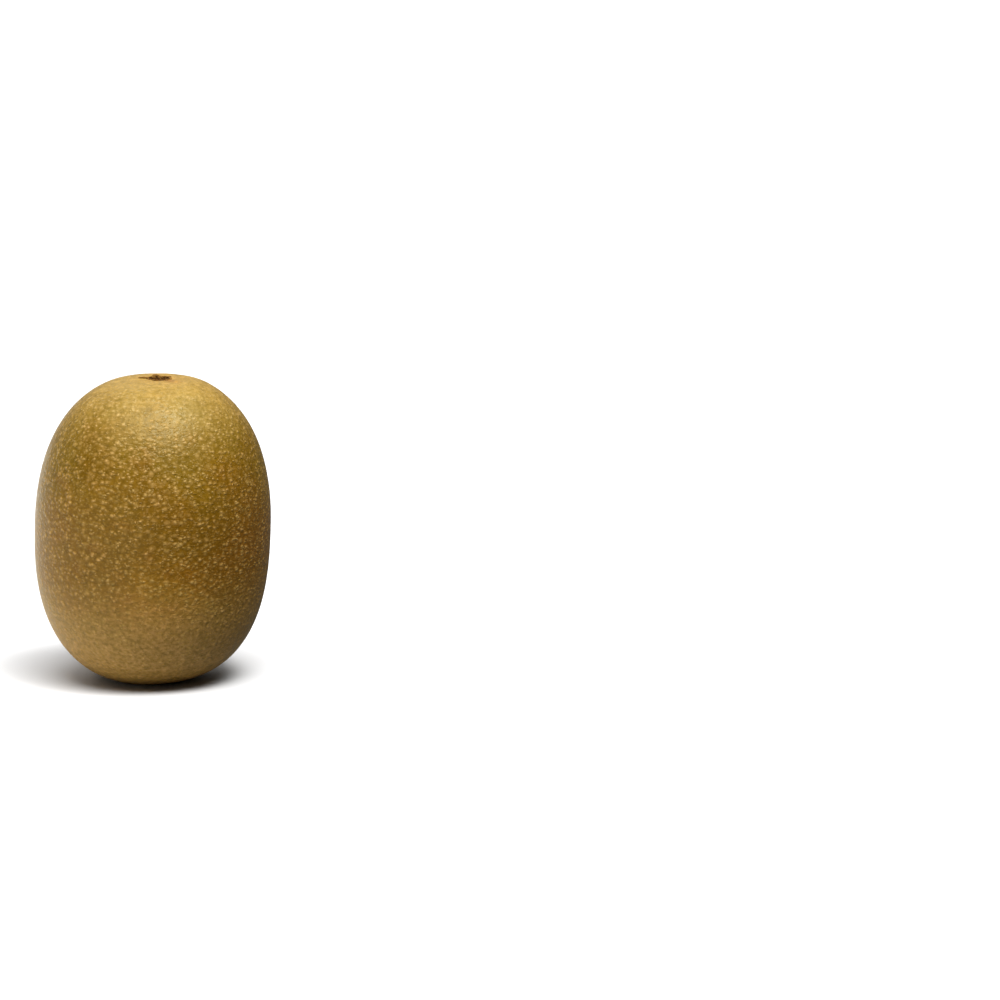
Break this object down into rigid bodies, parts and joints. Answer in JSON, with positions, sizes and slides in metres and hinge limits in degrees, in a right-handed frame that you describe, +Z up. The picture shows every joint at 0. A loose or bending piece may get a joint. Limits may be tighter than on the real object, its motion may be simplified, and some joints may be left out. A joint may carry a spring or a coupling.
{
  "type": "kiwi fruit",
  "caption": "Whole smooth-skinned golden kiwi fruit, a plump oval barrel with a stalk scar in a shallow dimple, standing on its slightly flattened blossom end.",
  "frame": {"origin": "centre of the fruit's outline seen from above, on the plane that the fruit stands on", "axes": "+Z up from the blossom end to the stem end, -Y towards the side that the stem end tips to, which is the front, and +X to the right seen from the front"},
  "size_m": [0.0506, 0.0488, 0.0665],
  "materials": {
    "skin": "satin"
  },
  "bodies": {
    "root": {"kiwifruit": "skin"}
  },
  "joints": []
}
